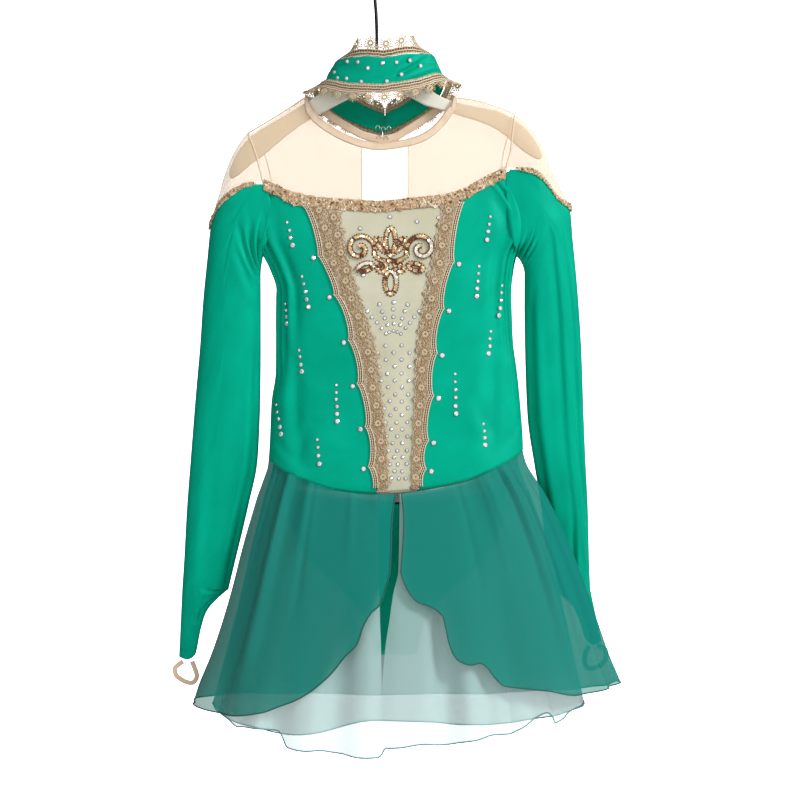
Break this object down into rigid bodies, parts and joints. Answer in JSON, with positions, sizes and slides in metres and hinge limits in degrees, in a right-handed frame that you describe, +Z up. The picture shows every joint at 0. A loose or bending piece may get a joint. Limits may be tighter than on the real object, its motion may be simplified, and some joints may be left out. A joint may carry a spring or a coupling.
{
  "type": "figure skating dress on a clothes hanger",
  "caption": "Long-sleeved figure skating dress with mesh yoke, lace-edged panel, choker collar and open double chiffon skirt, hanging on a flat clothes hanger.",
  "frame": {"origin": "inside top of the hanger hook, where it hangs on a rail", "axes": "+Z up, front of the dress faces -Y, +X to the viewer's right"},
  "size_m": [0.5598, 0.2065, 0.9916],
  "materials": {
    "green_satin": "satin",
    "cream_panel": "matt",
    "nude_mesh": "sheer",
    "nude_tape": "matt",
    "gold_lace": "metallic thread",
    "dark_chiffon": "sheer",
    "mint_chiffon": "sheer",
    "hanger_board": "painted",
    "hook": "gloss",
    "rhinestone": "faceted",
    "gold_sequin": "polished",
    "thread": "matt",
    "crystal_setting": "polished"
  },
  "bodies": {
    "root": {"hanger_hook": "hook", "hanger_arms": "hanger_board", "yoke_front": "nude_mesh", "yoke_back_left": "nude_mesh", "yoke_back_right": "nude_mesh", "neck_binding_front": "nude_tape", "neck_binding_back": "nude_tape", "centre_panel": "cream_panel", "side_front_left": "green_satin", "side_front_right": "green_satin", "bodice_back": "green_satin", "sleeve_left_upper": "green_satin", "sleeve_left_middle": "green_satin", "sleeve_left_lower": "green_satin", "sleeve_left_wrist": "green_satin", "sleeve_right_upper": "green_satin", "sleeve_right_middle": "green_satin", "sleeve_right_lower": "green_satin", "sleeve_right_wrist": "green_satin", "sleeve_cap_left": "nude_mesh", "sleeve_cap_right": "nude_mesh", "sleeve_trim_left": "gold_lace", "sleeve_trim_right": "gold_lace", "finger_loop_left": "nude_tape", "finger_loop_right": "nude_tape", "chest_trim_front": "gold_lace", "chest_trim_back": "gold_lace", "panel_lace_left": "gold_lace", "panel_lace_right": "gold_lace", "collar_band": "green_satin", "collar_tab": "nude_tape", "collar_lace_top": "gold_lace", "collar_lace_low": "gold_lace", "overskirt_left": "dark_chiffon", "overskirt_right": "dark_chiffon", "overskirt_back": "dark_chiffon", "underskirt_left": "mint_chiffon", "underskirt_right": "mint_chiffon", "underskirt_back": "mint_chiffon", "brief_front": "green_satin", "brief_back": "green_satin"}
  },
  "joints": []
}
